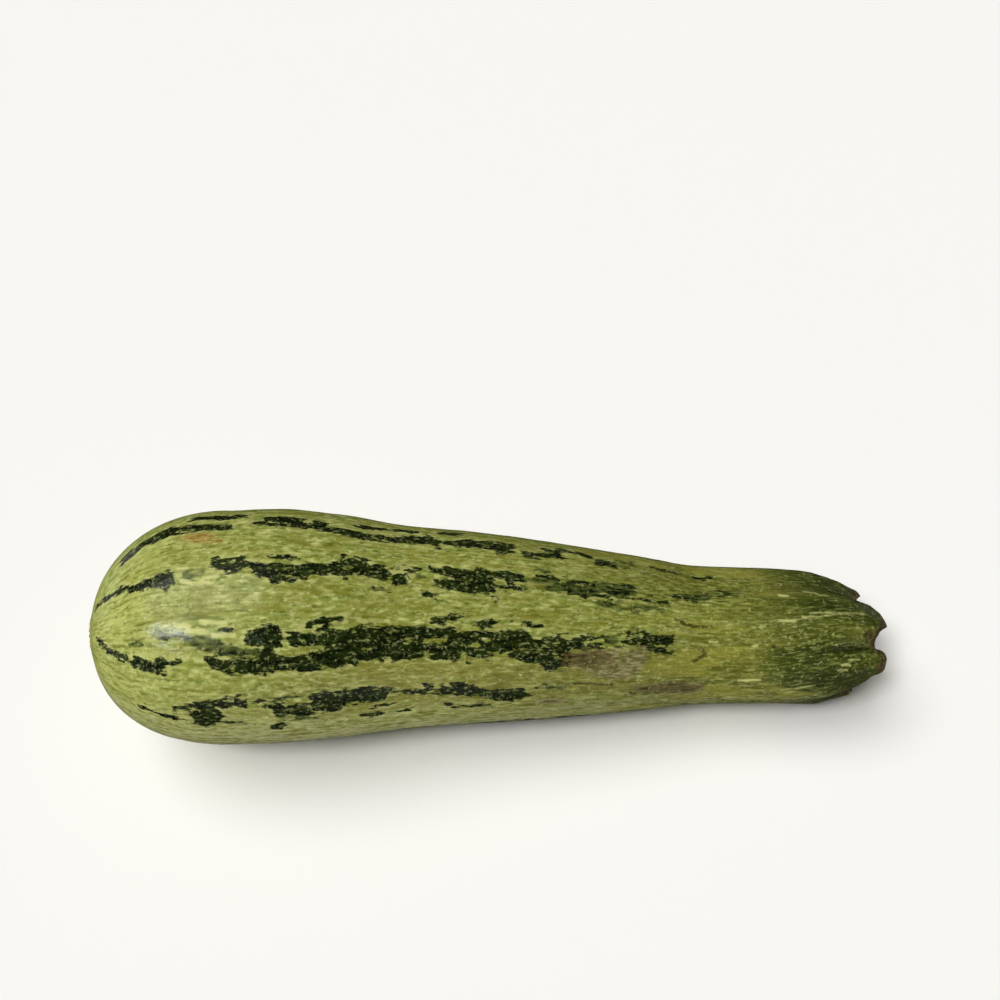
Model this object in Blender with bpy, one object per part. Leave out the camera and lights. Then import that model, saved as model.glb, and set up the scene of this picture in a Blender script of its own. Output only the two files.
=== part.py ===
"""Striped zucchini, one fruit as picked, lying on its side.

The fruit is one closed skin: rings of points set along a slightly bowed line, from the blossom
scar at -X, over the fat end and down the neck, to the five ridge lobes round the cut stem at +X.
Metres, +Z up. The origin is on the resting surface, under the middle of the fruit.
"""
import bpy
import numpy as np

# Overall size
LENGTH = 0.206  # blossom end to the tips of the longest lobes
# Radius of the fruit at distances from the blossom end
BODY_RADII = (
    (0.034, 0.0299),
    (0.047, 0.0301),
    (0.062, 0.0291),
    (0.080, 0.0267),
    (0.100, 0.0251),
    (0.120, 0.0231),
    (0.140, 0.0205),
    (0.158, 0.0183),
    (0.180, 0.0179),
    (0.188, 0.0175),
    (0.194, 0.0160),
    (0.199, 0.0141),
    (0.203, 0.0121),
    (0.206, 0.0095),
)

# Blossom end
CAP_LENGTH = 0.034
CAP_ROUNDNESS = 2.17  # exponent of the oval cap, 2 is an ellipse
CAP_LEAN_SIDE = np.radians(10.0)  # towards -Y
CAP_LEAN_UP = np.radians(10.0)
# The scar: shares of its radius, and how far each lies below the skin, above it at the rim
SCAR_RADIUS = 0.0036
SCAR_RINGS = ((0.45, 0.0006), (0.80, 0.0004), (1.00, -0.0003))

# The line through the ring centres: its bow sideways, and the height of the underside
BOW = ((0.034, 0.0), (0.065, 0.0015), (0.100, 0.0029), (0.150, 0.0031), (0.206, 0.0013))
LEVEL_FROM = 0.182  # past this the centre line runs level
PRESS = 0.0005  # how far the round underside is flattened where it rests
REST_FROM = 0.062
REST_TO = 0.100
HEEL_RISE = 0.0007  # how much higher the underside is at the fat end
NECK_RISE = 0.0022
NECK_RISE_AT = 0.185

# Uneven growth, as low waves in the radius
SWELL = 0.00025

# Ridges and lobes of the stem end
RIDGE_ANGLES = (18.0, 91.0, 154.0, 226.0, 298.0)  # degrees at the tip, from +Y towards +Z
RIDGE_TWIST = np.radians(14.0)  # turn of the ridges between the neck and the tip
TWIST_FROM = 0.168
RIDGE_HEIGHT = 0.0007
RIDGE_FROM = 0.095
GROOVE_DEPTH = 0.0013
GROOVE_FROM = 0.176
GROOVE_WIDTH = 0.25  # share of the way from a groove to the next ridge

# How far short of the longest lobe's tip the skin stops, at each angle in degrees
LIP_EDGE = (
    (0.0, 0.0060),
    (8.0, 0.0042),
    (16.0, 0.0034),
    (25.0, 0.0040),
    (33.0, 0.0062),
    (46.0, 0.0078),
    (58.0, 0.0068),
    (68.0, 0.0044),
    (78.0, 0.0022),
    (88.0, 0.0007),
    (96.0, 0.0000),
    (99.0, 0.0008),
    (104.0, 0.0025),
    (110.0, 0.0041),
    (118.0, 0.0046),
    (128.0, 0.0046),
    (132.5, 0.0026),
    (138.0, 0.0013),
    (144.0, 0.0010),
    (151.0, 0.0016),
    (158.0, 0.0036),
    (170.0, 0.0072),
    (190.0, 0.0094),
    (206.0, 0.0084),
    (218.0, 0.0062),
    (228.0, 0.0056),
    (237.0, 0.0066),
    (250.0, 0.0098),
    (268.0, 0.0112),
    (284.0, 0.0098),
    (293.0, 0.0078),
    (301.0, 0.0074),
    (309.0, 0.0086),
    (322.0, 0.0106),
    (340.0, 0.0098),
    (352.0, 0.0078),
    (360.0, 0.0060),
)

# The cut face inside the lobes: it falls from their lips to about this far along the fruit
CUT_LEVEL = 0.199
LIP_PULL = 4.0  # the higher, the nearer to the lip it falls
# Shares of the lip's radius, each with the depth of a low dish
CUT_RINGS = ((0.91, 0.0000), (0.76, 0.0007), (0.55, 0.0015), (0.30, 0.0019))

# Mesh
SEGMENTS = 60
CAP_RINGS = 11
BODY_RINGS = 26
TIP_RINGS = 15
TIP_START = 0.178

SKIN_COLOUR = (0.27, 0.30, 0.06, 1.0)
SKIN_ROUGHNESS = 0.38


def smooth_curve(points, x):
    """A curve through the points that never overshoots them, read at each x."""
    px, py = np.array(points).T
    step = np.diff(px)
    slope = np.diff(py) / step
    tangent = np.concatenate([[slope[0]], np.zeros(len(slope) - 1), [slope[-1]]])
    for i in range(1, len(slope)):
        if slope[i - 1] * slope[i] > 0:
            near = 2 * step[i] + step[i - 1]
            far = step[i] + 2 * step[i - 1]
            tangent[i] = (near + far) / (near / slope[i - 1] + far / slope[i])
    x = np.clip(x, px[0], px[-1])
    i = np.clip(np.searchsorted(px, x) - 1, 0, len(slope) - 1)
    t = (x - px[i]) / step[i]
    rise = py[i] + step[i] * tangent[i] * t
    bend = 3 * slope[i] - 2 * tangent[i] - tangent[i + 1]
    curl = tangent[i] + tangent[i + 1] - 2 * slope[i]
    return rise + step[i] * (bend * t**2 + curl * t**3)


def ease(start, end, x):
    """0 before start, 1 past end, and a smooth rise between."""
    t = np.clip((x - start) / (end - start), 0, 1)
    return t * t * (3 - 2 * t)


def off_ridge(along, around):
    """0 on the crest of a ridge, rising to 1 in the groove midway to the next."""
    crests = np.radians(RIDGE_ANGLES)
    gaps = np.diff(crests, append=crests[0] + 2 * np.pi)
    angles = np.concatenate([crests, crests + gaps / 2])
    values = np.concatenate([np.zeros(len(crests)), np.ones(len(crests))])
    turned = around - RIDGE_TWIST * (1 - ease(TWIST_FROM, LENGTH, along))
    return np.interp(turned, angles, values, period=2 * np.pi)


def skin_radius(along, around):
    """Distance of the skin from the centre line."""
    left = np.clip(1 - along / CAP_LENGTH, 0, 1)
    cap = (1 - left**CAP_ROUNDNESS) ** (1 / CAP_ROUNDNESS)
    waves = np.sin(2 * around + along / 0.021) + np.sin(3 * around - along / 0.034 + 1.0)
    swell = SWELL * waves * ease(0, CAP_LENGTH, along)
    off = off_ridge(along, around)
    ridge = RIDGE_HEIGHT * np.cos(np.pi * off) * ease(RIDGE_FROM, LENGTH, along)
    groove = GROOVE_DEPTH * np.exp(-(((1 - off) / GROOVE_WIDTH) ** 2)) * ease(GROOVE_FROM, LENGTH, along)
    return cap * (smooth_curve(BODY_RADII, along) + swell) + ridge - groove


def centre_line(along):
    """Sideways place and height of the middle of each ring."""
    heel = HEEL_RISE * (1 - ease(CAP_LENGTH, REST_FROM, along))
    neck = NECK_RISE * ease(REST_TO, NECK_RISE_AT, along)
    height = smooth_curve(BODY_RADII, np.minimum(along, LEVEL_FROM)) + heel + neck - PRESS
    return smooth_curve(BOW, along), height


def lean_cap(x, y, z, along):
    """Turn the blossom end about the middle of its cap, more and more towards the scar."""
    share = 1 - ease(0, CAP_LENGTH, along)
    side = CAP_LEAN_SIDE * share
    up = CAP_LEAN_UP * share
    x, y = x * np.cos(side) - y * np.sin(side), y * np.cos(side) + x * np.sin(side)
    x, z = x * np.cos(up) + z * np.sin(up), z * np.cos(up) - x * np.sin(up)
    return x, y, z


def skin_point(along, around, radius):
    """Place in space of a point at that distance from the centre line."""
    side, height = centre_line(along)
    x, y, z = lean_cap(along - CAP_LENGTH, radius * np.cos(around), radius * np.sin(around), along)
    return np.stack([x + CAP_LENGTH, y + side, z + height], axis=-1)


def lip_along(around):
    """How far the skin reaches at each angle, in lobes with notches between."""
    return LENGTH - smooth_curve(LIP_EDGE, np.degrees(around) % 360)


def skin_rings():
    """Rings of points from the blossom scar to the lip of the cut."""
    around = np.arange(SEGMENTS) * 2 * np.pi / SEGMENTS
    turn = np.linspace(0, np.pi / 2, CAP_RINGS + 1)[2:]
    stations = [*(CAP_LENGTH * (1 - np.cos(turn)))]
    stations += [*np.linspace(CAP_LENGTH, TIP_START, BODY_RINGS + 1)[1:]]
    rings = []
    for along in stations:
        at = np.full(SEGMENTS, along)
        rings.append(skin_point(at, around, skin_radius(at, around)))
    for share in np.linspace(0, 1, TIP_RINGS + 1)[1:]:
        at = TIP_START + share * (lip_along(around) - TIP_START)
        rings.append(skin_point(at, around, skin_radius(at, around)))
    return rings, around


def scar_rings(around):
    """The sunk blossom scar, from its middle out to its low rim."""
    rings = []
    for share, sink in SCAR_RINGS:
        radius = np.full(SEGMENTS, SCAR_RADIUS * share)
        across = radius / BODY_RADII[0][1]
        along = CAP_LENGTH * (1 - (1 - across**CAP_ROUNDNESS) ** (1 / CAP_ROUNDNESS))
        rings.append(skin_point(along, around, radius) + np.array([sink, 0, 0]))
    return rings


def cut_rings(around):
    """The dished cut face, from the lip of the lobes in to its middle."""
    lip = lip_along(around)
    lip_radius = skin_radius(lip, around)
    side, height = centre_line(lip)
    rings = []
    for share, depth in CUT_RINGS:
        pull = share**LIP_PULL
        level = pull * lip + (1 - pull) * CUT_LEVEL - depth
        radius = share * (share * lip_radius + (1 - share) * lip_radius.mean())
        y = side + radius * np.cos(around)
        z = height + radius * np.sin(around)
        rings.append(np.stack([level, y, z], axis=-1))
    return rings


def rest_on_ground(points):
    """Flatten the lowest stretch of the skin, where the fruit rests."""
    points[:, 2] = np.maximum(points[:, 2], 0.0)
    return points


def centred(points):
    """Move the fruit so that the middle of its length and width is over the origin."""
    middle = (points.min(axis=0) + points.max(axis=0)) / 2
    points[:, :2] -= middle[:2]
    return points


def fruit_mesh():
    """One closed mesh of the skin, the blossom scar and the cut face."""
    skin, around = skin_rings()
    rings = scar_rings(around) + skin + cut_rings(around)
    first = rings[0].mean(axis=0)
    last = rings[-1].mean(axis=0)
    points = centred(rest_on_ground(np.concatenate([[first], *rings, [last]])))
    faces = []
    for j in range(SEGMENTS):
        k = (j + 1) % SEGMENTS
        faces.append((0, 1 + k, 1 + j))
        for i in range(len(rings) - 1):
            a = 1 + i * SEGMENTS
            b = a + SEGMENTS
            faces.append((a + j, a + k, b + k, b + j))
        end = 1 + (len(rings) - 1) * SEGMENTS
        faces.append((end + j, end + k, len(points) - 1))
    mesh = bpy.data.meshes.new("zucchini")
    mesh.from_pydata(points.tolist(), [], faces)
    mesh.validate()
    mesh.shade_smooth()
    return mesh


def skin_material():
    """Waxy yellow-green skin."""
    material = bpy.data.materials.new("zucchini_skin")
    material.use_nodes = True
    shader = material.node_tree.nodes["Principled BSDF"]
    shader.inputs["Base Color"].default_value = SKIN_COLOUR
    shader.inputs["Roughness"].default_value = SKIN_ROUGHNESS
    shader.inputs["Metallic"].default_value = 0.0
    material.diffuse_color = SKIN_COLOUR
    return material


def main():
    for old in list(bpy.data.objects):
        bpy.data.objects.remove(old, do_unlink=True)
    fruit = bpy.data.objects.new("zucchini", fruit_mesh())
    fruit.data.materials.append(skin_material())
    bpy.context.scene.collection.objects.link(fruit)


main()
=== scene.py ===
"""Striped zucchini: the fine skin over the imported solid, its stripes and marks, lights and camera.

The form is that of the solid, ring by ring, with more rings and the small relief of the skin, the
blossom scar, the rough lip and the cut face. Stripes and marks are placed on the skin by two
measures: millimetres along the fruit from the blossom end, and degrees around it, from +Y over
the top towards the side that the camera sees.
"""

import bpy
import numpy as np
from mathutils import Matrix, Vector


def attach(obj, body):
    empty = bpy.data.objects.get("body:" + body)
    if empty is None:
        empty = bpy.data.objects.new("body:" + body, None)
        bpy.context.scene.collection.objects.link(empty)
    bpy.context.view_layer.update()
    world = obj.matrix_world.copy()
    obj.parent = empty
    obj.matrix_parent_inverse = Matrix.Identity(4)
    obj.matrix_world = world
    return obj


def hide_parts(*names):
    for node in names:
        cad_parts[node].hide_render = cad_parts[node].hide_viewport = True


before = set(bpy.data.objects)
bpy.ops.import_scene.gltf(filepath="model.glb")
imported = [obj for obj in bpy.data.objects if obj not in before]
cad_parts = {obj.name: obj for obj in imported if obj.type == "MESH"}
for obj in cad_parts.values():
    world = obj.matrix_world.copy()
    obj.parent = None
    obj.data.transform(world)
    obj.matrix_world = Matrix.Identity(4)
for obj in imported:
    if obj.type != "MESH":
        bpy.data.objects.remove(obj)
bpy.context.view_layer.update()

NODE = "zucchini"

# Overall form, as in the solid
LENGTH = 0.206
BODY_RADII = (
    (0.034, 0.0299), (0.047, 0.0301), (0.062, 0.0291), (0.080, 0.0267), (0.100, 0.0251),
    (0.120, 0.0231), (0.140, 0.0205), (0.158, 0.0183), (0.180, 0.0179), (0.188, 0.0175),
    (0.194, 0.0160), (0.199, 0.0141), (0.203, 0.0121), (0.206, 0.0095),
)
CAP_LENGTH = 0.034
CAP_ROUNDNESS = 2.17
CAP_LEAN_SIDE = np.radians(10.0)
CAP_LEAN_UP = np.radians(10.0)
BOW = ((0.034, 0.0), (0.065, 0.0015), (0.100, 0.0029), (0.150, 0.0031), (0.206, 0.0013))
LEVEL_FROM = 0.182
PRESS = 0.0005
REST_FROM = 0.062
REST_TO = 0.100
HEEL_RISE = 0.0007
NECK_RISE = 0.0022
NECK_RISE_AT = 0.185
SWELL = 0.00025
TWOFOLD_LENGTH = 0.021
THREEFOLD_LENGTH = 0.034

# Ridges and lobes of the stem end, as in the solid
RIDGE_ANGLES = (18.0, 91.0, 154.0, 226.0, 298.0)
RIDGE_TWIST = np.radians(14.0)
TWIST_FROM = 0.168
RIDGE_HEIGHT = 0.0007
RIDGE_FROM = 0.095
GROOVE_DEPTH = 0.0013
GROOVE_FROM = 0.176
GROOVE_WIDTH = 0.25

# How many millimetres short of the full length the skin stops, at each angle in degrees
LIP_EDGE = (
    (0, 6.0), (8, 4.2), (16, 3.4), (25, 3.6), (33, 5.0), (46, 6.6), (58, 6.0), (68, 4.2),
    (78, 2.2), (88, 0.8), (93, 0.4), (96.5, 0.6), (100, 1.4), (104, 2.6), (110, 4.0), (118, 4.6),
    (128, 4.6), (132.5, 2.6), (138, 1.3), (144, 1.0), (151, 1.6), (158, 3.6), (170, 7.2), (190, 9.4),
    (206, 8.4), (218, 6.2), (228, 5.6), (237, 6.6), (250, 9.8), (268, 11.2), (284, 9.8), (293, 7.8),
    (301, 7.4), (309, 8.6), (322, 10.6), (340, 9.8), (352, 7.8), (360, 6.0),
)

# Blossom scar: depth of its dish at shares of its radius, above the skin at its rim
SCAR_RADIUS = 0.0036
SCAR_DISH = ((0.0, 0.0001), (0.22, 0.0003), (0.45, 0.0006), (0.80, 0.0004), (1.0, -0.0003))
SCAR_SKIRT = 0.0075  # radius at which the raised rim has sunk back into the skin
SCAR_CALM = (0.0005, 0.0020)  # radii between which its wrinkles set in
NUB_HEIGHT = 0.0007
NUB_RADIUS = 0.0008

# Cut face, as in the solid: how far along it lies, how near the lip it falls to there, and its dish
CUT_LEVEL = 0.199
LIP_PULL = 4.0
CUT_SPAN = 0.06  # the grain of the face repeats only past its edges
CUT_DISH = ((0.0, 0.0019), (0.30, 0.0019), (0.55, 0.0015), (0.76, 0.0007), (0.91, 0.0), (1.0, 0.0))
CUT_ROUGH = 0.00022
CUT_FINE = 0.0011
CUT_COARSE = 0.0032
COARSE_SHARE = 0.8
CUT_RIM = 0.93  # share of the radius past which the roughness fades out

# Fine mesh
SEGMENTS = 280
SCAR_STEPS = 11
CAP_STEPS = 62
BODY_STEPS = 202
TIP_STEPS = 46
CUT_STEPS = 24
TIP_START = 0.178

LIP_WIDTH = 0.0034  # of the dried brown band along the edge of the cut
LIP_ROUND = 0.0012  # length over which the skin turns in at the lip
LIP_TUCK = 0.0008

# Map for baking: length of the skin's strip, and place and scale per metre of the round patches
STRIP_LENGTH = 0.84
SCAR_PATCH_PLACE = (0.92, 0.25)
SCAR_PATCH_SCALE = 14.0
CUT_PATCH_PLACE = (0.92, 0.70)
CUT_PATCH_SCALE = 4.2

GRAIN_SPAN = 0.25  # length that the random values of the relief cover
MM = 1000.0
# The skin's pattern is laid out on a cylinder of this radius, so it narrows with the fruit
PATTERN_RADIUS = 24.0


def smooth_curve(points, x):
    """A curve through the points that never overshoots them, read at each x."""
    px, py = np.array(points).T
    step = np.diff(px)
    slope = np.diff(py) / step
    tangent = np.concatenate([[slope[0]], np.zeros(len(slope) - 1), [slope[-1]]])
    for i in range(1, len(slope)):
        if slope[i - 1] * slope[i] > 0:
            near = 2 * step[i] + step[i - 1]
            far = step[i] + 2 * step[i - 1]
            tangent[i] = (near + far) / (near / slope[i - 1] + far / slope[i])
    x = np.clip(x, px[0], px[-1])
    i = np.clip(np.searchsorted(px, x) - 1, 0, len(slope) - 1)
    t = (x - px[i]) / step[i]
    rise = py[i] + step[i] * tangent[i] * t
    bend = 3 * slope[i] - 2 * tangent[i] - tangent[i + 1]
    curl = tangent[i] + tangent[i + 1] - 2 * slope[i]
    return rise + step[i] * (bend * t**2 + curl * t**3)


def ease(start, end, x):
    """0 before start, 1 past end, and a smooth rise between."""
    t = np.clip((x - start) / (end - start), 0, 1)
    return t * t * (3 - 2 * t)


def plateau(span, x):
    """1 between the middle two values of a span, 0 outside its outer two, with smooth slopes between."""
    start, full, falling, end = span
    return ease(start, full, x) * (1 - ease(falling, end, x))


def turned(along, around):
    """Angle round the fruit, measured along with the twist of its ridges."""
    return around - RIDGE_TWIST * (1 - ease(TWIST_FROM, LENGTH, along))


def off_ridge(along, around):
    """0 on the crest of a ridge, rising to 1 in the groove midway to the next."""
    crests = np.radians(RIDGE_ANGLES)
    gaps = np.diff(crests, append=crests[0] + 2 * np.pi)
    angles = np.concatenate([crests, crests + gaps / 2])
    values = np.concatenate([np.zeros(len(crests)), np.ones(len(crests))])
    return np.interp(turned(along, around), angles, values, period=2 * np.pi)


def cap_share(along):
    """How far the rounded blossom end has opened, from 0 at the scar to 1 at the full body."""
    left = np.clip(1 - along / CAP_LENGTH, 0, 1)
    return (1 - left**CAP_ROUNDNESS) ** (1 / CAP_ROUNDNESS)


def skin_radius(along, around):
    """Distance of the skin from the centre line."""
    twofold = np.sin(2 * around + along / TWOFOLD_LENGTH)
    threefold = np.sin(3 * around - along / THREEFOLD_LENGTH + 1.0)
    swell = SWELL * (twofold + threefold) * ease(0, CAP_LENGTH, along)
    off = off_ridge(along, around)
    ridge = RIDGE_HEIGHT * np.cos(np.pi * off) * ease(RIDGE_FROM, LENGTH, along)
    groove = GROOVE_DEPTH * np.exp(-(((1 - off) / GROOVE_WIDTH) ** 2)) * ease(GROOVE_FROM, LENGTH, along)
    return cap_share(along) * (smooth_curve(BODY_RADII, along) + swell) + ridge - groove


def centre_line(along):
    """Sideways place and height of the middle of each ring."""
    heel = HEEL_RISE * (1 - ease(CAP_LENGTH, REST_FROM, along))
    neck = NECK_RISE * ease(REST_TO, NECK_RISE_AT, along)
    height = smooth_curve(BODY_RADII, np.minimum(along, LEVEL_FROM)) + heel + neck - PRESS
    return smooth_curve(BOW, along), height


def lean_cap(x, y, z, along):
    """Turn the blossom end about the middle of its cap, more and more towards the scar."""
    share = 1 - ease(0, CAP_LENGTH, along)
    side = CAP_LEAN_SIDE * share
    up = CAP_LEAN_UP * share
    x, y = x * np.cos(side) - y * np.sin(side), y * np.cos(side) + x * np.sin(side)
    x, z = x * np.cos(up) + z * np.sin(up), z * np.cos(up) - x * np.sin(up)
    return x, y, z


def skin_point(along, around, radius):
    """Place in space of a point at that distance from the centre line."""
    side, height = centre_line(along)
    x, y, z = lean_cap(along - CAP_LENGTH, radius * np.cos(around), radius * np.sin(around), along)
    return np.stack([x + CAP_LENGTH, y + side, z + height], axis=-1)


def lip_along(around):
    """How far the skin reaches at each angle, in lobes with notches between."""
    return LENGTH - smooth_curve(LIP_EDGE, np.degrees(around) % 360) / MM


def grain(seed, along, around, length, cells):
    """Smooth random values from -1 to 1, a new one each length along and each cell around."""
    table = np.random.default_rng(seed).uniform(-1, 1, (int(GRAIN_SPAN / length) + 3, cells))
    u = along / length
    v = (around / (2 * np.pi) % 1) * cells
    i = np.floor(u).astype(int)
    j = np.floor(v).astype(int) % cells
    k = (j + 1) % cells
    s = ease(0, 1, u - i)
    t = ease(0, 1, v - np.floor(v))
    near = table[i, j] * (1 - t) + table[i, k] * t
    far = table[i + 1, j] * (1 - t) + table[i + 1, k] * t
    return near * (1 - s) + far * s


def flat_grain(seed, y, z, size):
    """Smooth random values from -1 to 1 over a flat face, a new one each size either way."""
    return grain(seed, y + CUT_SPAN / 2, 2 * np.pi * z / CUT_SPAN, size, round(CUT_SPAN / size))


# Relief: each kind's seed, its height and length in metres, and how many there are around
LUMPS = (1, 0.00016, 0.021, 9)
RIBS = (2, 0.00010, 0.060, 34)
STREAKS = (3, 0.00006, 0.0045, 120)
STEM_RIBS = (4, 0.00030, 0.030, 40)
STEM_KNOBS = (5, 0.00022, 0.0028, 66)
SCAR_WRINKLES = (6, 0.00016, 0.0011, 34)
LIP_TEETH = (7, 0.00035, 0.01, 52)
RELIEF_CALM = (0.001, 0.012)  # span along the fruit in which the skin's relief sets in
STEM_FROM = 0.172

# The narrow fold in the skin beside the round lobe: its line runs from one angle to the other
FOLD_DEPTH = 0.0011
FOLD_WIDTH = 0.0006
FOLD_FROM = (0.186, 125.0)
FOLD_TO = (0.202, 131.0)
FOLD_FULL = 0.198
# The round lobe swells outwards
KNOB_PLACE = (0.2025, 144.0)
KNOB_RADIUS = 0.0030
KNOB_HEIGHT = 0.0008


def bumps(kind, along, around):
    """How far one kind of relief lies above or below the smooth skin."""
    seed, height, length, cells = kind
    return height * grain(seed, along, around, length, cells)


def tip_forms(along, around):
    """The fold and the swelling of the round lobe, as a change of the skin's radius."""
    degrees = np.degrees(around) % 360
    arc = np.radians(smooth_curve(BODY_RADII, along))
    line = np.interp(along, (FOLD_FROM[0], FOLD_TO[0]), (FOLD_FROM[1], FOLD_TO[1]))
    fold = np.exp(-(((degrees - line) * arc / FOLD_WIDTH) ** 2)) * ease(FOLD_FROM[0], FOLD_FULL, along)
    away = np.hypot(along - KNOB_PLACE[0], (degrees - KNOB_PLACE[1]) * arc)
    return KNOB_HEIGHT * np.exp(-((away / KNOB_RADIUS) ** 2)) - FOLD_DEPTH * fold


def relief(along, around):
    """Small bumps of the skin: low lumps, faint ribs, short streaks, and coarser ones at the stem."""
    turn = turned(along, around)
    body = bumps(LUMPS, along, around) + bumps(RIBS, along, turn) + bumps(STREAKS, along, turn)
    stem = bumps(STEM_RIBS, along, turn) + bumps(STEM_KNOBS, along, turn)
    share = ease(STEM_FROM, LENGTH, along)
    return ease(*RELIEF_CALM, along) * (body + stem * share) + tip_forms(along, around)


def scar_lift(radius, around):
    """How far the blossom scar and its wrinkled rim stand out from the smooth skin."""
    rim = -smooth_curve(SCAR_DISH, np.minimum(radius / SCAR_RADIUS, 1.0))
    skirt = 1 - ease(SCAR_RADIUS, SCAR_SKIRT, radius)
    wrinkles = bumps(SCAR_WRINKLES, radius, around) * skirt * ease(*SCAR_CALM, radius)
    nub = NUB_HEIGHT * np.exp(-((radius / NUB_RADIUS) ** 2))
    return rim * skirt + wrinkles + nub


def lip_tuck(along, lip):
    """How far the skin turns in as it reaches the lip."""
    return LIP_TUCK * ease(LIP_ROUND, 0, lip - along) ** 2


def skin_grid():
    """Points of the skin from the rim of the scar to the lip, with their along, around and share."""
    around = np.arange(SEGMENTS) * 2 * np.pi / SEGMENTS
    first = np.arccos((1 - (SCAR_RADIUS / BODY_RADII[0][1]) ** CAP_ROUNDNESS) ** (1 / CAP_ROUNDNESS))
    turn = np.linspace(first, np.pi / 2, CAP_STEPS + 1)
    stations = [*(CAP_LENGTH * (1 - np.cos(turn)))]
    stations += [*np.linspace(CAP_LENGTH, TIP_START, BODY_STEPS + 1)[1:]]
    lip = lip_along(around) + bumps(LIP_TEETH, np.zeros(SEGMENTS), around)
    rows = [np.full(SEGMENTS, along) for along in stations]
    for share in np.linspace(0, 1, TIP_STEPS + 1)[1:]:
        rows.append(TIP_START + share * (lip - TIP_START))
    along = np.array(rows)
    around = np.broadcast_to(around, along.shape)
    radius = skin_radius(along, around) + relief(along, around) - lip_tuck(along, lip)
    points = skin_point(along, around, radius)
    points[..., 0] -= scar_lift(cap_share(along) * BODY_RADII[0][1], around)
    return points, along, around, np.ones(along.shape)


def scar_grid():
    """The same of the blossom scar, from near its middle out to its rim."""
    around = np.arange(SEGMENTS) * 2 * np.pi / SEGMENTS
    share = np.linspace(0, 1, SCAR_STEPS + 1)[1:-1, None]
    radius = np.broadcast_to(SCAR_RADIUS * share, (SCAR_STEPS - 1, SEGMENTS))
    across = radius / BODY_RADII[0][1]
    along = CAP_LENGTH * (1 - (1 - across**CAP_ROUNDNESS) ** (1 / CAP_ROUNDNESS))
    around = np.broadcast_to(around, along.shape)
    points = skin_point(along, around, radius)
    points[..., 0] -= scar_lift(radius, around)
    return points, along, around, np.ones(along.shape)


def cut_grid(lip_points, lip, around):
    """The same of the dished cut face, from just inside the lip in to near its middle."""
    side, height = centre_line(lip)
    lip_radius = np.hypot(lip_points[:, 1] - side, lip_points[:, 2] - height)
    share = np.linspace(1, 0, CUT_STEPS + 1)[1:-1, None]
    pull = share**LIP_PULL
    level = pull * lip + (1 - pull) * CUT_LEVEL - smooth_curve(CUT_DISH, share)
    radius = share * (share * lip_radius + (1 - share) * lip_radius.mean())
    spread = np.broadcast_to(around, radius.shape)
    y = side + radius * np.cos(spread)
    z = height + radius * np.sin(spread)
    rough = flat_grain(8, y, z, CUT_FINE) + COARSE_SHARE * flat_grain(9, y, z, CUT_COARSE)
    level = level + CUT_ROUGH * rough * ease(1.0, CUT_RIM, share)
    along = np.broadcast_to(lip, radius.shape)
    points = np.stack([level, y, z], axis=-1)
    return points, along, spread, np.broadcast_to(share, radius.shape)


def centred(points):
    """Rest the fruit on the ground, with the middle of its length and width over the origin."""
    points[:, 2] = np.maximum(points[:, 2], 0.0)
    middle = (points.min(axis=0) + points.max(axis=0)) / 2
    points[:, :2] -= middle[:2]
    return points


def meridian_length(along):
    """Distance travelled over the skin from the blossom end, in millimetres."""
    samples = np.linspace(0, LENGTH, 2000)
    radii = cap_share(samples) * smooth_curve(BODY_RADII, samples)
    steps = np.hypot(np.diff(samples), np.diff(radii))
    return MM * np.interp(along, samples, np.concatenate([[0], np.cumsum(steps)]))


# Dark stripes on the side in view: each a run of stations, with the millimetres along the fruit
# and the degrees of the stripe's two edges
TOP_BAND = (
    ((9, 61.5, 69), (13, 60, 68), (17, 58, 67), (21, 58.2, 66.2), (27, 59.2, 65.6), (37.4, 61.8, 64.9)),
    ((26, 50, 54), (34, 51, 55), (41, 50, 56)),
    ((43, 60, 61.5), (48, 61, 64.5), (56, 61.5, 65), (62, 61.5, 67), (70, 63, 69), (83, 61, 67.5)),
    ((45, 53, 58), (50, 54, 64), (55, 56, 65)),
    ((57.5, 56.5, 65), (61, 57, 65)),
    ((82, 60, 67), (86, 58, 68), (89, 61, 70.5)),
    ((67, 56, 60), (72, 55, 57.5), (77, 53, 56.5), (83, 52, 56.5)),
    ((88, 50, 54), (94, 50, 55)),
    ((90, 64, 67), (95, 60, 67), (100, 59, 68), (105, 60, 70), (108, 60, 69)),
    ((109.5, 65.5, 68.6), (116, 65.8, 69.4), (121.5, 65.4, 69.2)),
    ((115, 58, 66), (117, 59, 69), (120, 60, 68)),
    ((119, 57, 61), (124, 55, 60), (128, 57, 63)),
    ((129, 62, 69), (131, 60, 69), (134, 61, 68)),
    ((143, 57, 60), (148, 58, 60), (152, 57.5, 60.5)),
    ((155, 62, 63.5), (158, 60.5, 62.5), (160, 57, 60)),
)
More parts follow.
